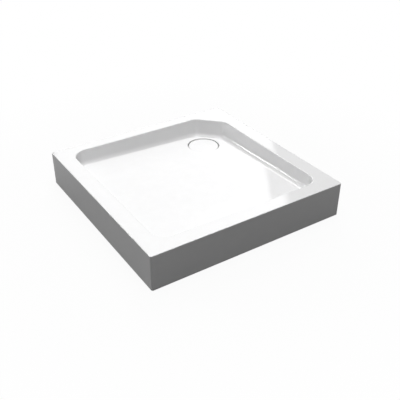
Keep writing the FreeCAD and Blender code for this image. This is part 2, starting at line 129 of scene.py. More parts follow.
def new_material(name, roughness, metallic=0.0, index=1.5):
    """A material: (material, its tree, its shader, its Object coordinates). The roughness is what
    it shows wherever its nodes aren't read."""
    material = bpy.data.materials.new(name)
    material.use_nodes = True
    tree = material.node_tree
    shader = tree.nodes["Principled BSDF"]
    shader.inputs["Roughness"].default_value = roughness
    shader.inputs["Metallic"].default_value = metallic
    shader.inputs["IOR"].default_value = index
    return material, tree, shader, tree.nodes.new("ShaderNodeTexCoord").outputs["Object"]


def relief(tree, shader, height, depth):
    """Fine relief on a material, as deep as depth where the height is 1."""
    bump = add_node(tree, "ShaderNodeBump", {"Height": height, "Distance": depth})
    tree.links.new(bump.outputs[0], shader.inputs["Normal"])


def finish(material, *names):
    """Gives CAD nodes, which keep their shape, this material."""
    for name in names:
        frame["nodes"][name].material_slots[0].material = material


moulded, given, result = effect(
    "moulded_surface",
    [("Vector", "NodeSocketVector", None), ("Wave Size", "NodeSocketFloat", 0.1),
     ("Grain Size", "NodeSocketFloat", 0.002), ("Grain Share", "NodeSocketFloat", 0.1)],
    ["Height", "Patch"],
)
wave = cloud(moulded, given["Vector"], given["Wave Size"], 1.0)
grain = cloud(moulded, given["Vector"], given["Grain Size"], 2.0)
grain = arithmetic(moulded, "MULTIPLY", grain, given["Grain Share"])
moulded.links.new(arithmetic(moulded, "ADD", wave, grain), result["Height"])
patch_to_wave = 0.45
patch_size = arithmetic(moulded, "MULTIPLY", given["Wave Size"], patch_to_wave)
patch = cloud(moulded, given["Vector"], patch_size, 4.0)
moulded.links.new(spread(moulded, patch, 0.3, 0.7, 0.0, 1.0), result["Patch"])

dusted, given, result = effect(
    "settled_dust",
    [("Vector", "NodeSocketVector", None), ("Speck Size", "NodeSocketFloat", 0.004),
     ("Cover", "NodeSocketFloat", 0.3)],
    ["Mask"],
)
facing = dusted.nodes.new("ShaderNodeNewGeometry").outputs["Normal"]
upward = spread(dusted, parts_of(dusted, facing)[2], 0.2, 1.0, 0.0, 1.0)
specks = spread(dusted, cloud(dusted, given["Vector"], given["Speck Size"], 5.0), 0.45, 0.7, 0.0, 1.0)
specks = arithmetic(dusted, "MULTIPLY", specks, given["Cover"])
dusted.links.new(arithmetic(dusted, "MULTIPLY", specks, upward), result["Mask"])

acrylic, tree, shader, place = new_material("white_acrylic", 0.06, index=1.49)
skin = {"Wave Size": 0.11, "Grain Size": 0.0016, "Grain Share": 0.004}
skin = place_effect(tree, moulded, place, skin)
dust = place_effect(tree, dusted, place, {"Speck Size": 0.02, "Cover": 0.25})
colour = tint(tree, skin["Patch"], (0.818, 0.818, 0.822), (0.835, 0.835, 0.838))
tree.links.new(tint(tree, dust["Mask"], colour, (0.80, 0.80, 0.79)), shader.inputs["Base Color"])
rough = spread(tree, skin["Patch"], 0.0, 1.0, 0.045, 0.065)
dust_dulls = 0.06
rough = arithmetic(tree, "ADD", rough, arithmetic(tree, "MULTIPLY", dust["Mask"], dust_dulls))
tree.links.new(rough, shader.inputs["Roughness"])
relief(tree, shader, skin["Height"], 0.0004)
finish(acrylic, "tray_shell")


# Laminate: glass strands chopped and sprayed with polyester resin onto the shell's underside,
# then rolled down. The strands show through the cured resin and leave it lumpy.
def vector_math(tree, operation, first, second=(0, 0, 0)):
    """A sum of two vectors: its outputs are a vector and a number."""
    inputs = {0: first, 1: second}
    return add_node(tree, "ShaderNodeVectorMath", inputs, operation=operation).outputs


strewn, given, result = effect(
    "strewn_pieces",
    [("Vector", "NodeSocketVector", None), ("Length", "NodeSocketFloat", 0.02),
     ("Width", "NodeSocketFloat", 0.002)],
    ["Shade", "Line"],
)
size = {0: given["Length"], 1: given["Width"], 2: given["Width"]}
size = add_node(strewn, "ShaderNodeCombineXYZ", size).outputs[0]
hidden_share = 0.62
shade = line = None
for layer, degrees in enumerate((12.0, 71.0, 128.0, 163.0)):
    turned = add_node(
        strewn, "ShaderNodeMapping",
        {"Vector": given["Vector"], "Location": (0.31 * layer, 0.17, 0.05 * layer),
         "Rotation": (0.0, 0.0, math.radians(degrees))},
    ).outputs[0]
    cells = vector_math(strewn, "DIVIDE", turned, size)[0]
    cells = add_node(strewn, "ShaderNodeTexVoronoi", {"Vector": cells, "Scale": 1.0})
    own_shade, above = parts_of(strewn, cells.outputs["Color"])[:2]
    own_line = spread(strewn, cells.outputs["Distance"], 0.12, 0.5, 1.0, 0.0)
    if shade is None:
        shade, line = own_shade, own_line
    else:
        above = arithmetic(strewn, "GREATER_THAN", above, hidden_share)
        shade = add_node(strewn, "ShaderNodeMix", {0: above, 2: shade, 3: own_shade}).outputs[0]
        line = add_node(strewn, "ShaderNodeMix", {0: above, 2: line, 3: own_line}).outputs[0]
strewn.links.new(shade, result["Shade"])
strewn.links.new(line, result["Line"])

strands_show, strands_rise = 0.8, 0.35
laminate, tree, shader, place = new_material("glass_laminate", 0.3, index=1.55)
strands = place_effect(tree, strewn, place, {"Length": 0.034, "Width": 0.0016})
skin = place_effect(tree, moulded, place, {"Wave Size": 0.016, "Grain Size": 0.003, "Grain Share": 0.5})
dust = place_effect(tree, dusted, place, {"Speck Size": 0.003, "Cover": 0.6})
resin = tint(tree, skin["Patch"], (0.47, 0.48, 0.40), (0.60, 0.60, 0.52))
glass = tint(tree, strands["Shade"], (0.62, 0.63, 0.56), (0.80, 0.80, 0.75))
colour = tint(tree, arithmetic(tree, "MULTIPLY", strands["Line"], strands_show), resin, glass)
tree.links.new(tint(tree, dust["Mask"], colour, (0.45, 0.42, 0.37)), shader.inputs["Base Color"])
tree.links.new(spread(tree, strands["Shade"], 0.0, 1.0, 0.22, 0.5), shader.inputs["Roughness"])
height = arithmetic(tree, "MULTIPLY", strands["Line"], strands_rise)
height = arithmetic(tree, "ADD", skin["Height"], height)
relief(tree, shader, height, 0.0011)
finish(laminate, "grp_backing")


# Baseboard: a sheet of chipboard, wood flakes pressed with resin, sawn to shape and laid into the
# wet laminate under the floor. It spreads the load from the feet.
worn, given, result = effect(
    "worn_edges",
    [("Vector", "NodeSocketVector", None), ("Radius", "NodeSocketFloat", 0.001),
     ("Break Size", "NodeSocketFloat", 0.004)],
    ["Mask"],
)
rounded = add_node(worn, "ShaderNodeBevel", {"Radius": given["Radius"]}, samples=4).outputs[0]
true_normal = worn.nodes.new("ShaderNodeNewGeometry").outputs["Normal"]
agree = vector_math(worn, "DOT_PRODUCT", rounded, true_normal)[1]
edge = spread(worn, agree, 0.99, 0.86, 0.0, 1.0)
broken = spread(worn, cloud(worn, given["Vector"], given["Break Size"], 4.0), 0.4, 0.6, 0.0, 1.0)
worn.links.new(arithmetic(worn, "MULTIPLY", edge, broken), result["Mask"])

chipboard, tree, shader, place = new_material("chipboard", 0.75)
flakes = place_effect(tree, strewn, place, {"Length": 0.0075, "Width": 0.0022})
crumbs = place_effect(tree, strewn, place, {"Length": 0.0024, "Width": 0.0009})
edges = place_effect(tree, worn, place, {"Radius": 0.0012, "Break Size": 0.003})
dark, light = (0.30, 0.19, 0.10), (0.71, 0.53, 0.33)
crumbs_show, crumbs_rise = 0.35, 0.5
colour = tint(tree, flakes["Shade"], dark, light)
colour = tint(tree, crumbs_show, colour, tint(tree, crumbs["Shade"], dark, light))
tree.links.new(tint(tree, edges["Mask"], colour, (0.78, 0.64, 0.45)), shader.inputs["Base Color"])
tree.links.new(spread(tree, flakes["Shade"], 0.0, 1.0, 0.85, 0.6), shader.inputs["Roughness"])
height = arithmetic(tree, "MULTIPLY", crumbs["Line"], crumbs_rise)
height = arithmetic(tree, "ADD", flakes["Line"], height)
relief(tree, shader, height, 0.00025)
finish(chipboard, "baseboard")


# Battens: sawn pine strips, one along each side, that stiffen the rim. They are cut to length and
# bedded in the wet laminate under it.
grained, given, result = effect(
    "sawn_grain",
    [("Vector", "NodeSocketVector", None), ("Ring Size", "NodeSocketFloat", 0.006)],
    ["Ring", "Fibre"],
)
ring_stretch, hair_stretch = (0.045, 1.0, 1.0), (0.03, 1.0, 1.0)
wave_at_one_metre = 0.16
scale = arithmetic(grained, "DIVIDE", 1.0, given["Ring Size"])
scale = arithmetic(grained, "MULTIPLY", scale, wave_at_one_metre)
stretched = {"Vector": given["Vector"], "Scale": ring_stretch}
stretched = add_node(grained, "ShaderNodeMapping", stretched).outputs[0]
rings = add_node(
    grained, "ShaderNodeTexWave",
    {"Vector": stretched, "Scale": scale, "Distortion": 3.5, "Detail": 2.0, "Detail Scale": 0.7},
    wave_type="RINGS", rings_direction="X", wave_profile="SAW",
).outputs["Fac"]
grained.links.new(rings, result["Ring"])
hairs = {"Vector": given["Vector"], "Scale": hair_stretch}
hairs = add_node(grained, "ShaderNodeMapping", hairs).outputs[0]
grained.links.new(cloud(grained, hairs, 0.0006, 3.0), result["Fibre"])

log_heart = (0.0, 0.012, -0.09)
for name, degrees, nodes in (
    ("pine_along_x", 0.0, ("batten_front", "batten_back")),
    ("pine_along_y", 90.0, ("batten_left", "batten_right")),
):
    pine, tree, shader, place = new_material(name, 0.6)
    along = {"Vector": place, "Location": log_heart, "Rotation": (0.0, 0.0, math.radians(degrees))}
    along = add_node(tree, "ShaderNodeMapping", along).outputs[0]
    wood = place_effect(tree, grained, along, {"Ring Size": 0.007})
    edges = place_effect(tree, worn, place, {"Radius": 0.001, "Break Size": 0.006})
    colour = tint(tree, wood["Ring"], (0.74, 0.55, 0.32), (0.55, 0.33, 0.15))
    fibre = spread(tree, wood["Fibre"], 0.3, 0.7, 0.0, 0.35)
    colour = tint(tree, fibre, colour, (0.80, 0.65, 0.44))
    tree.links.new(tint(tree, edges["Mask"], colour, (0.78, 0.66, 0.48)), shader.inputs["Base Color"])
    tree.links.new(spread(tree, wood["Fibre"], 0.3, 0.7, 0.72, 0.5), shader.inputs["Roughness"])
    relief(tree, shader, arithmetic(tree, "ADD", wood["Fibre"], wood["Ring"]), 0.00012)
    finish(pine, *nodes)


# Leg brackets: six moulded nylon sockets, a plate with a ribbed boss, one for each foot. They are
# black with a spark-eroded texture, and are screwed up into the board.
leg_count = 6
nylon, tree, shader, place = new_material("black_nylon", 0.5)
skin = place_effect(tree, moulded, place, {"Wave Size": 0.01, "Grain Size": 0.0004, "Grain Share": 0.6})
edges = place_effect(tree, worn, place, {"Radius": 0.0008, "Break Size": 0.002})
dust = place_effect(tree, dusted, place, {"Speck Size": 0.0015, "Cover": 0.35})
colour = tint(tree, skin["Patch"], (0.020, 0.020, 0.022), (0.034, 0.034, 0.036))
wear_shows = 0.55
wear = arithmetic(tree, "MULTIPLY", edges["Mask"], wear_shows)
colour = tint(tree, wear, colour, (0.16, 0.16, 0.17))
tree.links.new(tint(tree, dust["Mask"], colour, (0.30, 0.27, 0.23)), shader.inputs["Base Color"])
tree.links.new(spread(tree, skin["Patch"], 0.0, 1.0, 0.42, 0.58), shader.inputs["Roughness"])
relief(tree, shader, skin["Height"], 0.00012)
finish(nylon, *[f"leg_bracket_{leg}" for leg in range(1, leg_count + 1)])


# Bracket screws: zinc-plated pan-head wood screws with a cross recess, four through each bracket.
# They are driven from below, square to the sloping board.
zinc, tree, shader, place = new_material("zinc_plated_steel", 0.35, metallic=1.0)
skin = place_effect(tree, moulded, place, {"Wave Size": 0.006, "Grain Size": 0.0005, "Grain Share": 0.4})
edges = place_effect(tree, worn, place, {"Radius": 0.0004, "Break Size": 0.001})
spangle = add_node(tree, "ShaderNodeTexVoronoi", {"Vector": place, "Scale": 700.0}).outputs["Color"]
spangle = parts_of(tree, spangle)[0]
colour = tint(tree, skin["Patch"], (0.56, 0.57, 0.58), (0.66, 0.67, 0.70))
spangle_shows, patch_dulls = 0.3, 0.08
bloom = arithmetic(tree, "MULTIPLY", spangle, spangle_shows)
colour = tint(tree, bloom, colour, (0.70, 0.68, 0.62))
tree.links.new(tint(tree, edges["Mask"], colour, (0.80, 0.80, 0.80)), shader.inputs["Base Color"])
rough = spread(tree, spangle, 0.0, 1.0, 0.26, 0.40)
rough = arithmetic(tree, "ADD", rough, arithmetic(tree, "MULTIPLY", skin["Patch"], patch_dulls))
tree.links.new(rough, shader.inputs["Roughness"])
relief(tree, shader, skin["Height"], 0.00005)


def geometry_tree(name, inputs):
    """An empty Geometry Nodes tree with named inputs: (tree, what comes in)."""
    tree = bpy.data.node_groups.new(name, "GeometryNodeTree")
    kinds = {"geometry": "NodeSocketGeometry", "length": "NodeSocketFloat", "count": "NodeSocketInt",
             "vector": "NodeSocketVector", "material": "NodeSocketMaterial"}
    for label, kind in inputs:
        tree.interface.new_socket(name=label, in_out="INPUT", socket_type=kinds[kind])
    tree.interface.new_socket(name="Geometry", in_out="OUTPUT", socket_type="NodeSocketGeometry")
    return tree, tree.nodes.new("NodeGroupInput").outputs


def joined(tree, parts):
    join = add_node(tree, "GeometryNodeJoinGeometry")
    for part in parts:
        tree.links.new(part, join.inputs[0])
    return join.outputs[0]


def end_tree(tree, parts, material):
    """Joins the parts, makes their copies real and gives them their material."""
    real = add_node(tree, "GeometryNodeRealizeInstances", {0: joined(tree, parts)}).outputs[0]
    real = add_node(tree, "GeometryNodeSetMaterial", {"Geometry": real, "Material": material}).outputs[0]
    add_node(tree, "NodeGroupOutput", {0: real})


def made_by(tree, name, mesh, values, sharp_degrees=32.0):
    """The plain mesh object that a Geometry Nodes tree makes from a mesh and its inputs."""
    maker = bpy.data.objects.new("maker", mesh)
    bpy.context.scene.collection.objects.link(maker)
    modifier = maker.modifiers.new("maker", "NODES")
    modifier.node_group = tree
    for socket in tree.interface.items_tree:
        if socket.in_out == "INPUT" and socket.name in values:
            modifier[socket.identifier] = values[socket.name]
    bpy.context.view_layer.update()
    ready = maker.evaluated_get(bpy.context.evaluated_depsgraph_get())
    piece = bpy.data.objects.new(name, bpy.data.meshes.new_from_object(ready))
    bpy.data.objects.remove(maker)
    bpy.context.scene.collection.objects.link(piece)
    piece.data.shade_smooth()
    piece.data.set_sharp_from_angle(angle=math.radians(sharp_degrees))
    return piece


def vector_of(tree, x=0.0, y=0.0, z=0.0):
    return add_node(tree, "ShaderNodeCombineXYZ", {0: x, 1: y, 2: z}).outputs[0]


def moved(tree, geometry, x=0.0, y=0.0, z=0.0):
    inputs = {"Geometry": geometry, "Translation": vector_of(tree, x, y, z)}
    return add_node(tree, "GeometryNodeTransform", inputs).outputs[0]


def rod(tree, radius, low, high, sides):
    """A closed prism or cylinder about Z between two heights."""
    length = arithmetic(tree, "SUBTRACT", high, low)
    middle = arithmetic(tree, "MULTIPLY", arithmetic(tree, "ADD", high, low), 0.5)
    inputs = {"Vertices": sides, "Radius": radius, "Depth": length}
    made = add_node(tree, "GeometryNodeMeshCylinder", inputs).outputs[0]
    return moved(tree, made, z=middle)


def circle(tree, sides):
    """A round outline of radius 1."""
    inputs = {"Resolution": sides, "Radius": 1.0}
    return add_node(tree, "GeometryNodeCurvePrimitiveCircle", inputs).outputs[0]


def spine(tree, start, end, count):
    """An upright line of evenly spaced points between two heights."""
    inputs = {"Start": vector_of(tree, z=start), "End": vector_of(tree, z=end)}
    line = add_node(tree, "GeometryNodeCurvePrimitiveLine", inputs).outputs[0]
    return add_node(tree, "GeometryNodeResampleCurve", {"Curve": line, "Count": count}).outputs[0]


def round_solid(tree, line, radius, sides):
    """A closed round solid along a line, whose radius may change from point to point."""
    inputs = {"Curve": line, "Profile Curve": circle(tree, sides), "Scale": radius, "Fill Caps": True}
    return add_node(tree, "GeometryNodeCurveToMesh", inputs).outputs[0]


def thread(tree, radius, depth, low, high, pitch, steps):
    """A ridge wound round Z, its crest at radius and its root buried in the core."""
    base_share = 0.47
    length = arithmetic(tree, "SUBTRACT", high, low)
    root = arithmetic(tree, "SUBTRACT", radius, depth)
    inputs = {"Resolution": steps, "Rotations": arithmetic(tree, "DIVIDE", length, pitch),
              "Start Radius": root, "End Radius": root, "Height": length}
    path = add_node(tree, "GeometryNodeCurveSpiral", inputs).outputs[0]
    path = add_node(tree, "GeometryNodeSetCurveNormal", {"Curve": path}, mode="Z_UP").outputs[0]
    size = vector_of(tree, depth, arithmetic(tree, "MULTIPLY", pitch, base_share), 1.0)
    inputs = {"Geometry": circle(tree, 4), "Scale": size}
    ridge = add_node(tree, "GeometryNodeTransform", inputs).outputs[0]
    inputs = {"Curve": path, "Profile Curve": ridge, "Fill Caps": True}
    return moved(tree, add_node(tree, "GeometryNodeCurveToMesh", inputs).outputs[0], z=low)


def cut_from(tree, body, cutters):
    boolean = add_node(tree, "GeometryNodeMeshBoolean", {"Mesh 1": body}, operation="DIFFERENCE")
    for cutter in cutters:
        tree.links.new(cutter, boolean.inputs["Mesh 2"])
    return boolean.outputs[0]


def each_copy(node, turn, apart):
    """The lowest point, in a turned frame, of each separate solid that one CAD node holds."""
    groups = []
    for vertex in frame["nodes"][node].data.vertices:
        spot = turn.inverted() @ vertex.co
        for group in groups:
            if (group[0].xy - spot.xy).length < apart:
                group.append(spot)
                break
        else:
            groups.append([spot])
    places = []
    for group in groups:
        low = [min(spot[axis] for spot in group) for axis in range(3)]
        high = [max(spot[axis] for spot in group) for axis in range(3)]
        places.append(Vector(((low[0] + high[0]) / 2, (low[1] + high[1]) / 2, low[2])))
    return places


def points_mesh(name, places):
    mesh = bpy.data.meshes.new(name)
    mesh.from_pydata([tuple(place) for place in places], [], [])
    return mesh


tree, given = geometry_tree("pan_head_screws", [
    ("Places", "geometry"), ("Head Radius", "length"), ("Head Height", "length"),
    ("Shank Radius", "length"), ("Length", "length"), ("Thread Pitch", "length"),
    ("Thread Depth", "length"), ("Tip Length", "length"), ("Recess Reach", "length"),
    ("Recess Width", "length"), ("Recess Depth", "length"), ("Material", "material"),
])
dome_power, flat_share = 3.0, 0.6
along = tree.nodes.new("GeometryNodeSplineParameter").outputs["Factor"]
dome = arithmetic(tree, "SUBTRACT", 1.0, arithmetic(tree, "POWER", along, dome_power))
dome = arithmetic(tree, "POWER", dome, 1.0 / dome_power)
dome = arithmetic(tree, "MAXIMUM", dome, flat_share)
dome = arithmetic(tree, "MULTIPLY", dome, given["Head Radius"])
head = round_solid(tree, spine(tree, given["Head Height"], 0.0, 12), dome, 28)
reach = arithmetic(tree, "MULTIPLY", given["Recess Reach"], 2.0)
depth = arithmetic(tree, "MULTIPLY", given["Recess Depth"], 2.0)
arms = []
for across, deep in ((reach, given["Recess Width"]), (given["Recess Width"], reach)):
    size = vector_of(tree, across, deep, depth)
    arms.append(add_node(tree, "GeometryNodeMeshCube", {"Size": size}).outputs[0])
head = cut_from(tree, head, arms)
tip_low = arithmetic(tree, "SUBTRACT", given["Length"], given["Tip Length"])
core_radius = arithmetic(tree, "SUBTRACT", given["Shank Radius"], given["Thread Depth"])
start_in_head = 0.8
core_low = arithmetic(tree, "MULTIPLY", given["Head Height"], start_in_head)
core = rod(tree, core_radius, core_low, tip_low, 16)
tip = add_node(
    tree, "GeometryNodeMeshCone",
    {"Vertices": 16, "Radius Top": 0.0, "Radius Bottom": core_radius, "Depth": given["Tip Length"]},
)
tip = moved(tree, tip.outputs[0], z=tip_low)
ridge = thread(
    tree, given["Shank Radius"], given["Thread Depth"], given["Head Height"], tip_low,
    given["Thread Pitch"], 14,
)
screw = {"Points": given["Places"], "Instance": joined(tree, (head, core, tip, ridge))}
copies = add_node(tree, "GeometryNodeInstanceOnPoints", screw).outputs[0]
end_tree(tree, [copies], given["Material"])

board_fall, screws_apart = 0.0272, 0.014
board_up = Vector((board_fall, board_fall, 1))
board_turn = Vector((0, 0, 1)).rotation_difference(board_up).to_matrix()
screw_places = each_copy("bracket_screws", board_turn, screws_apart)
screws = made_by(tree, "bracket_screws_cross", points_mesh("screw_places", screw_places), {
    "Head Radius": 0.0042, "Head Height": 0.0026, "Shank Radius": 0.0021, "Length": 0.0172,
    "Thread Pitch": 0.0018, "Thread Depth": 0.0005, "Tip Length": 0.003, "Recess Reach": 0.0022,
    "Recess Width": 0.0009, "Recess Depth": 0.0016, "Material": zinc,
})
screws.data.transform(board_turn.to_4x4())
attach(screws, "tray")
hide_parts("bracket_screws")


# Lock nuts: six zinc-plated hexagon nuts with chamfered corners, run up the stems and tightened
# against the brackets once the tray is level.
hexagon, given = geometry_tree("chamfered_hexagon", [
    ("Across Flats", "length"), ("Height", "length"),
])
chamfer_slope, end_share, widest_share = 1.73, 0.478, 0.6
corner = arithmetic(hexagon, "DIVIDE", given["Across Flats"], math.sqrt(3))
block = rod(hexagon, corner, 0.0, given["Height"], 6)
along = hexagon.nodes.new("GeometryNodeSplineParameter").outputs["Factor"]
nearer = arithmetic(hexagon, "MINIMUM", along, arithmetic(hexagon, "SUBTRACT", 1.0, along))
rise = arithmetic(hexagon, "MULTIPLY", nearer, given["Height"])
rise = arithmetic(hexagon, "MULTIPLY", rise, chamfer_slope)
at_end = arithmetic(hexagon, "MULTIPLY", given["Across Flats"], end_share)
widest = arithmetic(hexagon, "MULTIPLY", given["Across Flats"], widest_share)
rise = arithmetic(hexagon, "MINIMUM", arithmetic(hexagon, "ADD", rise, at_end), widest)
barrel = round_solid(hexagon, spine(hexagon, 0.0, given["Height"], 25), rise, 48)
both = add_node(hexagon, "GeometryNodeMeshBoolean", operation="INTERSECT")
hexagon.links.new(block, both.inputs["Mesh 2"])
hexagon.links.new(barrel, both.inputs["Mesh 2"])
add_node(hexagon, "NodeGroupOutput", {0: both.outputs[0]})

tree, given = geometry_tree("hexagon_nuts", [
    ("Places", "geometry"), ("Across Flats", "length"), ("Height", "length"),
    ("Bore Radius", "length"), ("Material", "material"),
])
nut = {"Across Flats": given["Across Flats"], "Height": given["Height"]}
nut = add_node(tree, "GeometryNodeGroup", nut, node_tree=hexagon).outputs[0]
drill_low, drill_high = -0.001, 0.02
nut = cut_from(tree, nut, [rod(tree, given["Bore Radius"], drill_low, drill_high, 40)])
nut = {"Points": given["Places"], "Instance": nut}
copies = add_node(tree, "GeometryNodeInstanceOnPoints", nut).outputs[0]
end_tree(tree, [copies], given["Material"])

nuts_apart = 0.04
nut_places = each_copy("lock_nuts", Matrix.Identity(3), nuts_apart)
nuts = made_by(tree, "lock_nuts_hexagon", points_mesh("nut_places", nut_places), {
    "Across Flats": 0.017, "Height": 0.007, "Bore Radius": 0.00506, "Material": zinc,
})
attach(nuts, "tray")
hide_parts("lock_nuts")


# Leg stems: M10 zinc-plated threaded rods with hexagon flats for a spanner and a plain spigot
# that turns in the foot. Turning one winds its foot up or down.
tree, given = geometry_tree("threaded_stem", [
    ("Geometry", "geometry"), ("Place", "vector"), ("Low", "length"), ("Shoulder", "length"),
    ("Top", "length"), ("Radius", "length"), ("Pitch", "length"), ("Thread Depth", "length"),
    ("Spigot Radius", "length"), ("Across Flats", "length"), ("Flats Height", "length"),
    ("Material", "material"),
])
spigot = rod(tree, given["Spigot Radius"], given["Low"], given["Shoulder"], 32)
flats = {"Across Flats": given["Across Flats"], "Height": given["Flats Height"]}
flats = add_node(tree, "GeometryNodeGroup", flats, node_tree=hexagon).outputs[0]
flats = moved(tree, flats, z=given["Shoulder"])
thread_low = arithmetic(tree, "ADD", given["Shoulder"], given["Flats Height"])
thread_high = arithmetic(tree, "SUBTRACT", given["Top"], given["Pitch"])
core_radius = arithmetic(tree, "SUBTRACT", given["Radius"], given["Thread Depth"])
core = rod(tree, core_radius, thread_low, given["Top"], 32)
half_pitch = arithmetic(tree, "MULTIPLY", given["Pitch"], 0.5)
thread_start = arithmetic(tree, "ADD", thread_low, half_pitch)
ridge = thread(
    tree, given["Radius"], given["Thread Depth"], thread_start, thread_high, given["Pitch"], 28,
)
stem = {"Geometry": joined(tree, (spigot, flats, core, ridge)), "Translation": given["Place"]}
stem = add_node(tree, "GeometryNodeTransform", stem).outputs[0]
end_tree(tree, [stem], given["Material"])

for leg in range(1, leg_count + 1):
    low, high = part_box(f"leg_stem_{leg}")
    axis_x, axis_y = (low.x + high.x) / 2, (low.y + high.y) / 2
    stem = made_by(tree, f"threaded_stem_{leg}", points_mesh("empty", []), {
        "Place": (axis_x, axis_y, 0.0), "Low": low.z, "Shoulder": 0.0112, "Top": high.z,
        "Radius": 0.005, "Pitch": 0.0015, "Thread Depth": 0.0008, "Spigot Radius": 0.004,
        "Across Flats": 0.013, "Flats Height": 0.005, "Material": zinc,
    })
    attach(stem, f"stem_{leg}")
    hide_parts(f"leg_stem_{leg}")


# Foot pads: six round nylon mouldings, each with a socket for its stem and twelve stiffening ribs
# from the hub outwards. They stand on the floor and don't turn.
def turned_mesh(name, profile, centre, sides):
    """A closed body of revolution from (radius, height) points; a radius of 0 closes a pole."""
    net = bmesh.new()
    turns = [2 * math.pi * step / sides for step in range(sides)]
    rings = []
    for radius, height in profile:
        rings.append([
            net.verts.new((centre[0] + radius * math.cos(t), centre[1] + radius * math.sin(t), height))
            for t in (turns if radius else [0.0])
        ])
    for ring, other in zip(rings, rings[1:]):
        for step in range(sides):
            after = (step + 1) % sides
            corners = [
                ring[step % len(ring)], ring[after % len(ring)],
                other[after % len(other)], other[step % len(other)],
            ]
            net.faces.new([c for i, c in enumerate(corners) if c not in corners[:i]])
    bmesh.ops.recalc_face_normals(net, faces=net.faces)
    mesh = bpy.data.meshes.new(name)
    net.to_mesh(mesh)
    net.free()
    return mesh


def arc(centre_r, centre_z, radius, start, end, steps):
    """(radius, height) points of an arc, its angles in degrees."""
    turns = [math.radians(start + (end - start) * step / steps) for step in range(steps + 1)]
    return [(centre_r + radius * math.cos(t), centre_z + radius * math.sin(t)) for t in turns]


tree, given = geometry_tree("ribs_in_a_ring", [
    ("Body", "geometry"), ("Centre", "vector"), ("Count", "count"), ("Ring Radius", "length"),
    ("Rib Reach", "length"), ("Rib Width", "length"), ("Rib Height", "length"),
    ("Material", "material"),
])
rib = vector_of(tree, given["Rib Reach"], given["Rib Width"], given["Rib Height"])
rib = add_node(tree, "GeometryNodeMeshCube", {"Size": rib}).outputs[0]
ring = {"Vertices": given["Count"], "Radius": given["Ring Radius"]}
ring = add_node(tree, "GeometryNodeMeshCircle", ring).outputs[0]
ring = {"Geometry": ring, "Translation": given["Centre"]}
ring = add_node(tree, "GeometryNodeTransform", ring).outputs[0]
number = tree.nodes.new("GeometryNodeInputIndex").outputs[0]
angle = arithmetic(tree, "MULTIPLY", arithmetic(tree, "DIVIDE", number, given["Count"]), 2 * math.pi)
inputs = {"Points": ring, "Instance": rib, "Rotation": vector_of(tree, z=angle)}
copies = add_node(tree, "GeometryNodeInstanceOnPoints", inputs)
end_tree(tree, [given["Body"], copies.outputs[0]], given["Material"])
ribs_in_a_ring = tree

pad_radius, pad_height, pad_edge = 0.025, 0.008, 0.002
hollow_height, hollow_radius, hollow_foot = 0.0012, 0.015, 0.016
hub_radius, hub_top, hub_fillet, small_round = 0.009, 0.011, 0.001, 0.0006
socket_radius, socket_floor, socket_chamfer = 0.00406, 0.003, 0.0004
rib_rise, rib_width, rib_gap, rib_in_hub = 0.0012, 0.0016, 0.003, 0.001
plate_top = pad_height - rib_rise
rib_reach = pad_radius - rib_gap - hub_radius + rib_in_hub
profile = [(0, hollow_height), (hollow_radius, hollow_height), (hollow_foot, 0.0)]
profile += [(pad_radius - small_round, 0.0), (pad_radius, small_round)]
profile += arc(pad_radius - pad_edge, plate_top - pad_edge, pad_edge, 0, 90, 6)
profile += [(hub_radius + hub_fillet, plate_top)]
profile += arc(hub_radius + hub_fillet, plate_top + hub_fillet, hub_fillet, -90, -180, 4)
profile += arc(hub_radius - small_round, hub_top - small_round, small_round, 0, 90, 3)
profile += [(socket_radius + socket_chamfer, hub_top), (socket_radius, hub_top - socket_chamfer)]
profile += [(socket_radius, socket_floor), (0, socket_floor)]
for leg in range(1, leg_count + 1):
    low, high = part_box(f"foot_pad_{leg}")
    axis_x, axis_y = (low.x + high.x) / 2, (low.y + high.y) / 2
    body = turned_mesh("foot_pad", profile, (axis_x, axis_y), 72)
    pad = made_by(ribs_in_a_ring, f"foot_{leg}_ribbed", body, {
        "Centre": (axis_x, axis_y, plate_top), "Count": 12,
        "Ring Radius": hub_radius - rib_in_hub + rib_reach / 2, "Rib Reach": rib_reach,
        "Rib Width": rib_width, "Rib Height": 2 * rib_rise, "Material": nylon,
    })
    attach(pad, f"foot_{leg}")
    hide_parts(f"foot_pad_{leg}")


# Waste flange: a chromed brass ring that clamps the shell's seat, its neck screwed into the trap.
# It lies under the cover, so water spots and a little scale stay on it.
chrome, tree, shader, place = new_material("chromed_brass", 0.1, metallic=1.0)
skin = place_effect(tree, moulded, place, {"Wave Size": 0.012, "Grain Size": 0.0006, "Grain Share": 0.1})
spots = add_node(tree, "ShaderNodeTexVoronoi", {"Vector": place, "Scale": 190.0}).outputs["Distance"]
spot_radius, spot_rim = 0.3, 0.05
from_rim = arithmetic(tree, "ABSOLUTE", arithmetic(tree, "SUBTRACT", spots, spot_radius))
spots = spread(tree, from_rim, 0.0, spot_rim, 1.0, 0.0)
spots = arithmetic(tree, "MULTIPLY", spots, skin["Patch"])
tree.links.new(tint(tree, spots, (0.78, 0.79, 0.80), (0.62, 0.62, 0.60)), shader.inputs["Base Color"])
tree.links.new(spread(tree, spots, 0.0, 1.0, 0.07, 0.3), shader.inputs["Roughness"])
relief(tree, shader, skin["Height"], 0.00004)
finish(chrome, "waste_flange")


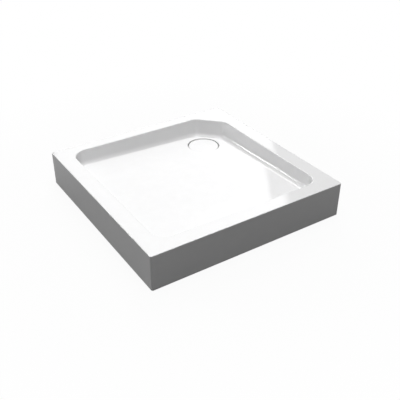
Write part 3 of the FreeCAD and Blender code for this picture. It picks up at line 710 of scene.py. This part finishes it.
# Seals: two flat rings of black rubber, cut from sheet, that lie above and below the drilled seat,
# and the O-ring in the groove of the lift-out insert.
rubber, tree, shader, place = new_material("black_rubber", 0.7, index=1.52)
skin = place_effect(tree, moulded, place, {"Wave Size": 0.008, "Grain Size": 0.0003, "Grain Share": 0.8})
dust = place_effect(tree, dusted, place, {"Speck Size": 0.002, "Cover": 0.3})
colour = tint(tree, skin["Patch"], (0.016, 0.016, 0.016), (0.030, 0.030, 0.031))
tree.links.new(tint(tree, dust["Mask"], colour, (0.20, 0.20, 0.19)), shader.inputs["Base Color"])
tree.links.new(spread(tree, skin["Patch"], 0.0, 1.0, 0.6, 0.82), shader.inputs["Roughness"])
relief(tree, shader, skin["Height"], 0.00006)
finish(rubber, "upper_seal", "lower_seal", "insert_oring")


# Trap and its lift-out insert: white polypropylene mouldings. The trap has grip ribs round its
# body, by which it is screwed to the neck, and its spigot takes the 40 mm waste pipe.
polypropylene, tree, shader, place = new_material("white_polypropylene", 0.35, index=1.49)
skin = place_effect(tree, moulded, place, {"Wave Size": 0.03, "Grain Size": 0.0005, "Grain Share": 0.12})
edges = place_effect(tree, worn, place, {"Radius": 0.0008, "Break Size": 0.003})
dust = place_effect(tree, dusted, place, {"Speck Size": 0.003, "Cover": 0.35})
colour = tint(tree, skin["Patch"], (0.66, 0.67, 0.68), (0.74, 0.74, 0.745))
wear_shows = 0.5
wear = arithmetic(tree, "MULTIPLY", edges["Mask"], wear_shows)
colour = tint(tree, wear, colour, (0.83, 0.83, 0.84))
tree.links.new(tint(tree, dust["Mask"], colour, (0.50, 0.48, 0.45)), shader.inputs["Base Color"])
tree.links.new(spread(tree, skin["Patch"], 0.0, 1.0, 0.28, 0.42), shader.inputs["Roughness"])
relief(tree, shader, skin["Height"], 0.0003)
finish(polypropylene, "trap_body", "insert_tube")

cover_low, cover_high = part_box("waste_cover")
waste_x, waste_y = (cover_low.x + cover_high.x) / 2, (cover_low.y + cover_high.y) / 2
trap_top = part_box("trap_body")[1].z
trap_radius, trap_rim_height = 0.054, 0.004
rib_low, rib_high = 0.010, trap_top - trap_rim_height
band_in, band_foot, band_out = trap_radius - 0.001, trap_radius + 0.0012, trap_radius + 0.0018
band_low, band_bevel, band_high = rib_high - 0.0012, rib_high - 0.0006, rib_high + 0.0005
grip_band = turned_mesh("grip_band", [
    (band_in, band_low), (band_foot, band_low), (band_out, band_bevel),
    (band_out, band_high), (band_in, band_high), (band_in, band_low),
], (waste_x, waste_y), 120)
grip = made_by(ribs_in_a_ring, "trap_grip_ribs", grip_band, {
    "Centre": (waste_x, waste_y, (rib_low + rib_high) / 2), "Count": 48, "Ring Radius": trap_radius,
    "Rib Reach": 0.0036, "Rib Width": 0.0018, "Rib Height": rib_high - rib_low,
    "Material": polypropylene,
})
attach(grip, "trap")


# Hair strainer: a stamped and brushed stainless steel disc with three rings of holes and a knob,
# which rests on the insert's collar and lifts out to be cleaned.
stainless, tree, shader, place = new_material("brushed_stainless", 0.3, metallic=1.0)
brush_turn, brush_stretch, brush_size = (0, 0, 0.6), (0.02, 1.0, 1.0), 0.00025
lines = {"Vector": place, "Rotation": brush_turn, "Scale": brush_stretch}
lines = add_node(tree, "ShaderNodeMapping", lines).outputs[0]
lines = cloud(tree, lines, brush_size, 3.0)
skin = place_effect(tree, moulded, place, {"Wave Size": 0.01, "Grain Size": 0.0005, "Grain Share": 0.2})
edges = place_effect(tree, worn, place, {"Radius": 0.0004, "Break Size": 0.002})
colour = tint(tree, spread(tree, lines, 0.3, 0.7, 0.0, 1.0), (0.55, 0.545, 0.54), (0.68, 0.675, 0.67))
tree.links.new(tint(tree, edges["Mask"], colour, (0.82, 0.82, 0.81)), shader.inputs["Base Color"])
rough = spread(tree, lines, 0.3, 0.7, 0.2, 0.36)
patch_dulls = 0.06
rough = arithmetic(tree, "ADD", rough, arithmetic(tree, "MULTIPLY", skin["Patch"], patch_dulls))
tree.links.new(rough, shader.inputs["Roughness"])
relief(tree, shader, lines, 0.00003)
finish(stainless, "hair_strainer")


# Waste cover: a round disc of white ABS that lies just under the floor, on four posts, with
# slotted tabs in the neck. A dark ring of painted shade runs round its edge, standing in for the shadow
# in the gap.
abs_plastic, tree, shader, place = new_material("white_abs", 0.08, index=1.53)
skin = place_effect(tree, moulded, place, {"Wave Size": 0.04, "Grain Size": 0.0012, "Grain Share": 0.01})
dust = place_effect(tree, dusted, place, {"Speck Size": 0.01, "Cover": 0.25})
colour = tint(tree, skin["Patch"], (0.815, 0.815, 0.82), (0.83, 0.83, 0.835))
colour = tint(tree, dust["Mask"], colour, (0.79, 0.79, 0.78))
cover_radius = (cover_high.x - cover_low.x) / 2
# Painted shade: the cover darkens over its outer few millimetres, in place of the shadow in the gap
# round it.
gap_shade_starts, gap_shade_full, gap_shade_least = cover_radius - 0.0036, cover_radius - 0.0010, 0.7
centred = vector_math(tree, "SUBTRACT", place, (waste_x, waste_y, 0))[0]
flat = vector_math(tree, "MULTIPLY", centred, (1, 1, 0))[0]
reach = vector_math(tree, "LENGTH", flat)[1]
painted_gap_shade = spread(tree, reach, gap_shade_starts, gap_shade_full, 0.0, 1.0)
gap_shade_varies = spread(tree, skin["Patch"], 0.0, 1.0, gap_shade_least, 1.0)
painted_gap_shade = arithmetic(tree, "MULTIPLY", painted_gap_shade, gap_shade_varies)
# The painted shade darkens the cover's colour towards its edge, patchy along the ring.
tree.links.new(tint(tree, painted_gap_shade, colour, (0.30, 0.30, 0.29)), shader.inputs["Base Color"])
tree.links.new(spread(tree, skin["Patch"], 0.0, 1.0, 0.06, 0.09), shader.inputs["Roughness"])
relief(tree, shader, skin["Height"], 0.00015)
finish(abs_plastic, "waste_cover")


# Studio floor: a wide pale sheet, white to the eye but for the tray's soft shadow, which throws no
# more light back on the tray than a grey floor. In gloss a painted shadow, set by distance alone,
# darkens it near the tray, and from below it is clear.
floor_radius = 14.0
floor_colour, shaded_colour = 0.15, 0.9
shadow_share, painted_gloss_shadow = 0.08, 0.8
shadow_near, shadow_far = 0.5, 1.3

mesh = bpy.data.meshes.new("floor")
net = bmesh.new()
bmesh.ops.create_circle(net, cap_ends=True, radius=floor_radius, segments=96)
net.to_mesh(mesh)
net.free()
floor = bpy.data.objects.new("studio_floor", mesh)
bpy.context.scene.collection.objects.link(floor)
paper = bpy.data.materials.new("studio_paper")
paper.use_nodes = True
tree = paper.node_tree
tree.nodes.clear()
plain, catcher = [
    add_node(tree, "ShaderNodeBsdfDiffuse", {"Color": (grey, grey, grey, 1)})
    for grey in (floor_colour, shaded_colour)
]
reach = vector_math(tree, "LENGTH", tree.nodes.new("ShaderNodeTexCoord").outputs["Object"])[1]


def seen_rays(tree, kinds):
    """1 for the kinds of ray named, and 0 for the rest."""
    rays = tree.nodes.new("ShaderNodeLightPath").outputs
    seen = rays[kinds[0]]
    for kind in kinds[1:]:
        seen = arithmetic(tree, "MAXIMUM", seen, rays[kind])
    return seen


seen = seen_rays(tree, ("Is Camera Ray", "Is Glossy Ray", "Is Transmission Ray"))
near = spread(tree, reach, shadow_near, shadow_far, 1.0, 0.0)
# Painted shadow: in gloss the floor's white is dimmed near the tray by its distance, not by the tray's
# real shade.
painted_shadow_in_gloss = spread(tree, seen_rays(tree, ("Is Glossy Ray",)), 0.0, 1.0, 0.0, painted_gloss_shadow)
level = arithmetic(tree, "SUBTRACT", 1.0, arithmetic(tree, "MULTIPLY", near, painted_shadow_in_gloss))
white = add_node(tree, "ShaderNodeEmission", {"Color": (1, 1, 1, 1), "Strength": level})
share = arithmetic(tree, "MULTIPLY", near, shadow_share)
shown = add_node(tree, "ShaderNodeMixShader", {0: share, 1: white.outputs[0], 2: catcher.outputs[0]})
mix = add_node(tree, "ShaderNodeMixShader", {0: seen, 1: plain.outputs[0], 2: shown.outputs[0]})
clear = tree.nodes.new("ShaderNodeBsdfTransparent")
under = tree.nodes.new("ShaderNodeNewGeometry").outputs["Backfacing"]
mix = add_node(tree, "ShaderNodeMixShader", {0: under, 1: mix.outputs[0], 2: clear.outputs[0]})
add_node(tree, "ShaderNodeOutputMaterial", {"Surface": mix.outputs[0]})
mesh.materials.append(paper)


# The tray's pieces are left out of their own gloss: as far as the photograph shows, the floor of
# the tray doesn't mirror the walls round it.
for piece in bpy.context.scene.objects:
    piece.visible_glossy = piece is floor


# Studio light: a dim white room whose ceiling is darker in gloss, a tall softbox far behind the tray
# whose right-hand edge shows in the gloss, a strip that draws the light line along the foot of the
# right-hand wall, and a soft one overhead.
ambient = 0.11
ceiling_starts, ceiling_value = 0.68, 0.25
world = bpy.data.worlds.new("studio")
bpy.context.scene.world = world
world.use_nodes = True
tree = world.node_tree
tree.nodes.clear()
soft = add_node(tree, "ShaderNodeBackground", {"Color": (1, 1, 1, 1), "Strength": ambient})
upward = parts_of(tree, tree.nodes.new("ShaderNodeTexCoord").outputs["Object"])[2]
ceiling = spread(tree, upward, ceiling_starts, 1.0, 0.0, 1.0 - ceiling_value)
ceiling = arithmetic(tree, "MULTIPLY", seen_rays(tree, ("Is Glossy Ray",)), ceiling)
level = arithmetic(tree, "SUBTRACT", 1.0, ceiling)
bright = add_node(tree, "ShaderNodeBackground", {"Color": (1, 1, 1, 1), "Strength": level})
seen = seen_rays(tree, ("Is Camera Ray", "Is Glossy Ray", "Is Transmission Ray"))
mix = add_node(tree, "ShaderNodeMixShader", {0: seen, 1: soft.outputs[0], 2: bright.outputs[0]})
add_node(tree, "ShaderNodeOutputWorld", {"Surface": mix.outputs[0]})


def softbox(name, centre, aim, lean, width, height, radiance, low_share=1.0, fade=0.001):
    """A rectangular lamp that faces a point, as bright as radiance at its top and a share of it at
    its bottom, and fading out over a part of its width at its right-hand edge."""
    data = bpy.data.lights.new(name, "AREA")
    data.shape = "RECTANGLE"
    data.size = width
    data.size_y = height
    data.energy = radiance * math.pi * width * height
    lamp = bpy.data.objects.new(name, data)
    bpy.context.scene.collection.objects.link(lamp)
    facing = (aim - centre).to_track_quat("-Z", "Y").to_matrix().to_4x4()
    lamp.matrix_world = Matrix.Translation(centre) @ facing @ Matrix.Rotation(lean, 4, "Z")
    data.use_nodes = True
    tree = data.node_tree
    tree.nodes.clear()
    across, upwards = parts_of(tree, tree.nodes.new("ShaderNodeTexCoord").outputs["UV"])[:2]
    power = spread(tree, upwards, 0.0, 1.0, low_share, 1.0)
    power = arithmetic(tree, "MULTIPLY", power, spread(tree, across, 0.0, fade, 0.0, 1.0))
    glow = add_node(tree, "ShaderNodeEmission", {"Color": (1, 1, 1, 1), "Strength": power})
    add_node(tree, "ShaderNodeOutputLight", {0: glow.outputs[0]})


panel_distance, panel_low, panel_high = 7.0, 1.6, 11.0
panel_left_edge, panel_right_edge = math.radians(20.0), math.radians(49.0)
panel_lean = math.radians(16.0)
panel_radiance, panel_low_share, panel_fade = 5.7, 0.2, 0.02
panel_azimuth = (panel_right_edge + panel_left_edge) / 2
panel_half = (panel_right_edge - panel_left_edge) / 2
panel_forward = Vector((math.sin(panel_azimuth), math.cos(panel_azimuth), 0))
panel_centre = panel_forward * panel_distance + Vector((0, 0, (panel_low + panel_high) / 2))
panel_width = 2 * panel_distance * math.tan(panel_half)
softbox(
    "tall_softbox", panel_centre, panel_centre - panel_forward, panel_lean, panel_width,
    panel_high - panel_low, panel_radiance, panel_low_share, panel_fade,
)

strip_azimuth, strip_elevation, strip_distance = math.radians(-43.5), math.radians(15.0), 6.0
strip_width, strip_height, strip_radiance = 0.9, 1.6, 14.0
strip_centre = strip_distance * Vector((
    math.sin(strip_azimuth) * math.cos(strip_elevation),
    math.cos(strip_azimuth) * math.cos(strip_elevation),
    math.sin(strip_elevation),
))
tray_middle = Vector((0, 0, 0))
softbox("side_strip", strip_centre, tray_middle, 0.0, strip_width, strip_height, strip_radiance)

overhead_centre, overhead_side, overhead_radiance = Vector((-0.2, -0.5, 4.5)), 3.2, 4.3
softbox(
    "overhead_softbox", overhead_centre, tray_middle, 0.0,
    overhead_side, overhead_side, overhead_radiance,
)

bpy.context.scene.view_settings.view_transform = "Standard"


# Camera: looks down at the tray from past its front corner. The angle, distance and lens are those
# that bring the tray's outer corners to their places in the photograph.
camera_azimuth = math.radians(-33.25)
camera_elevation = math.radians(32.74)
camera_roll = math.radians(0.12)
camera_distance, camera_right, camera_up = 2.4016, 0.0361, -0.0085
camera_lens, camera_reach = 55.01, 60

back = Vector((
    math.sin(camera_azimuth) * math.cos(camera_elevation),
    -math.cos(camera_azimuth) * math.cos(camera_elevation),
    math.sin(camera_elevation),
))
level = Vector((math.cos(camera_azimuth), math.sin(camera_azimuth), 0))
right = level * math.cos(camera_roll) + back.cross(level) * math.sin(camera_roll)
up = back.cross(right)
camera = bpy.data.objects.new("camera", bpy.data.cameras.new("camera"))
bpy.context.scene.collection.objects.link(camera)
centre = back * camera_distance + right * camera_right + up * camera_up
camera.matrix_world = Matrix.Translation(centre) @ Matrix((right, up, back)).transposed().to_4x4()
camera.data.lens = camera_lens
camera.data.clip_end = camera_reach
bpy.context.scene.camera = camera
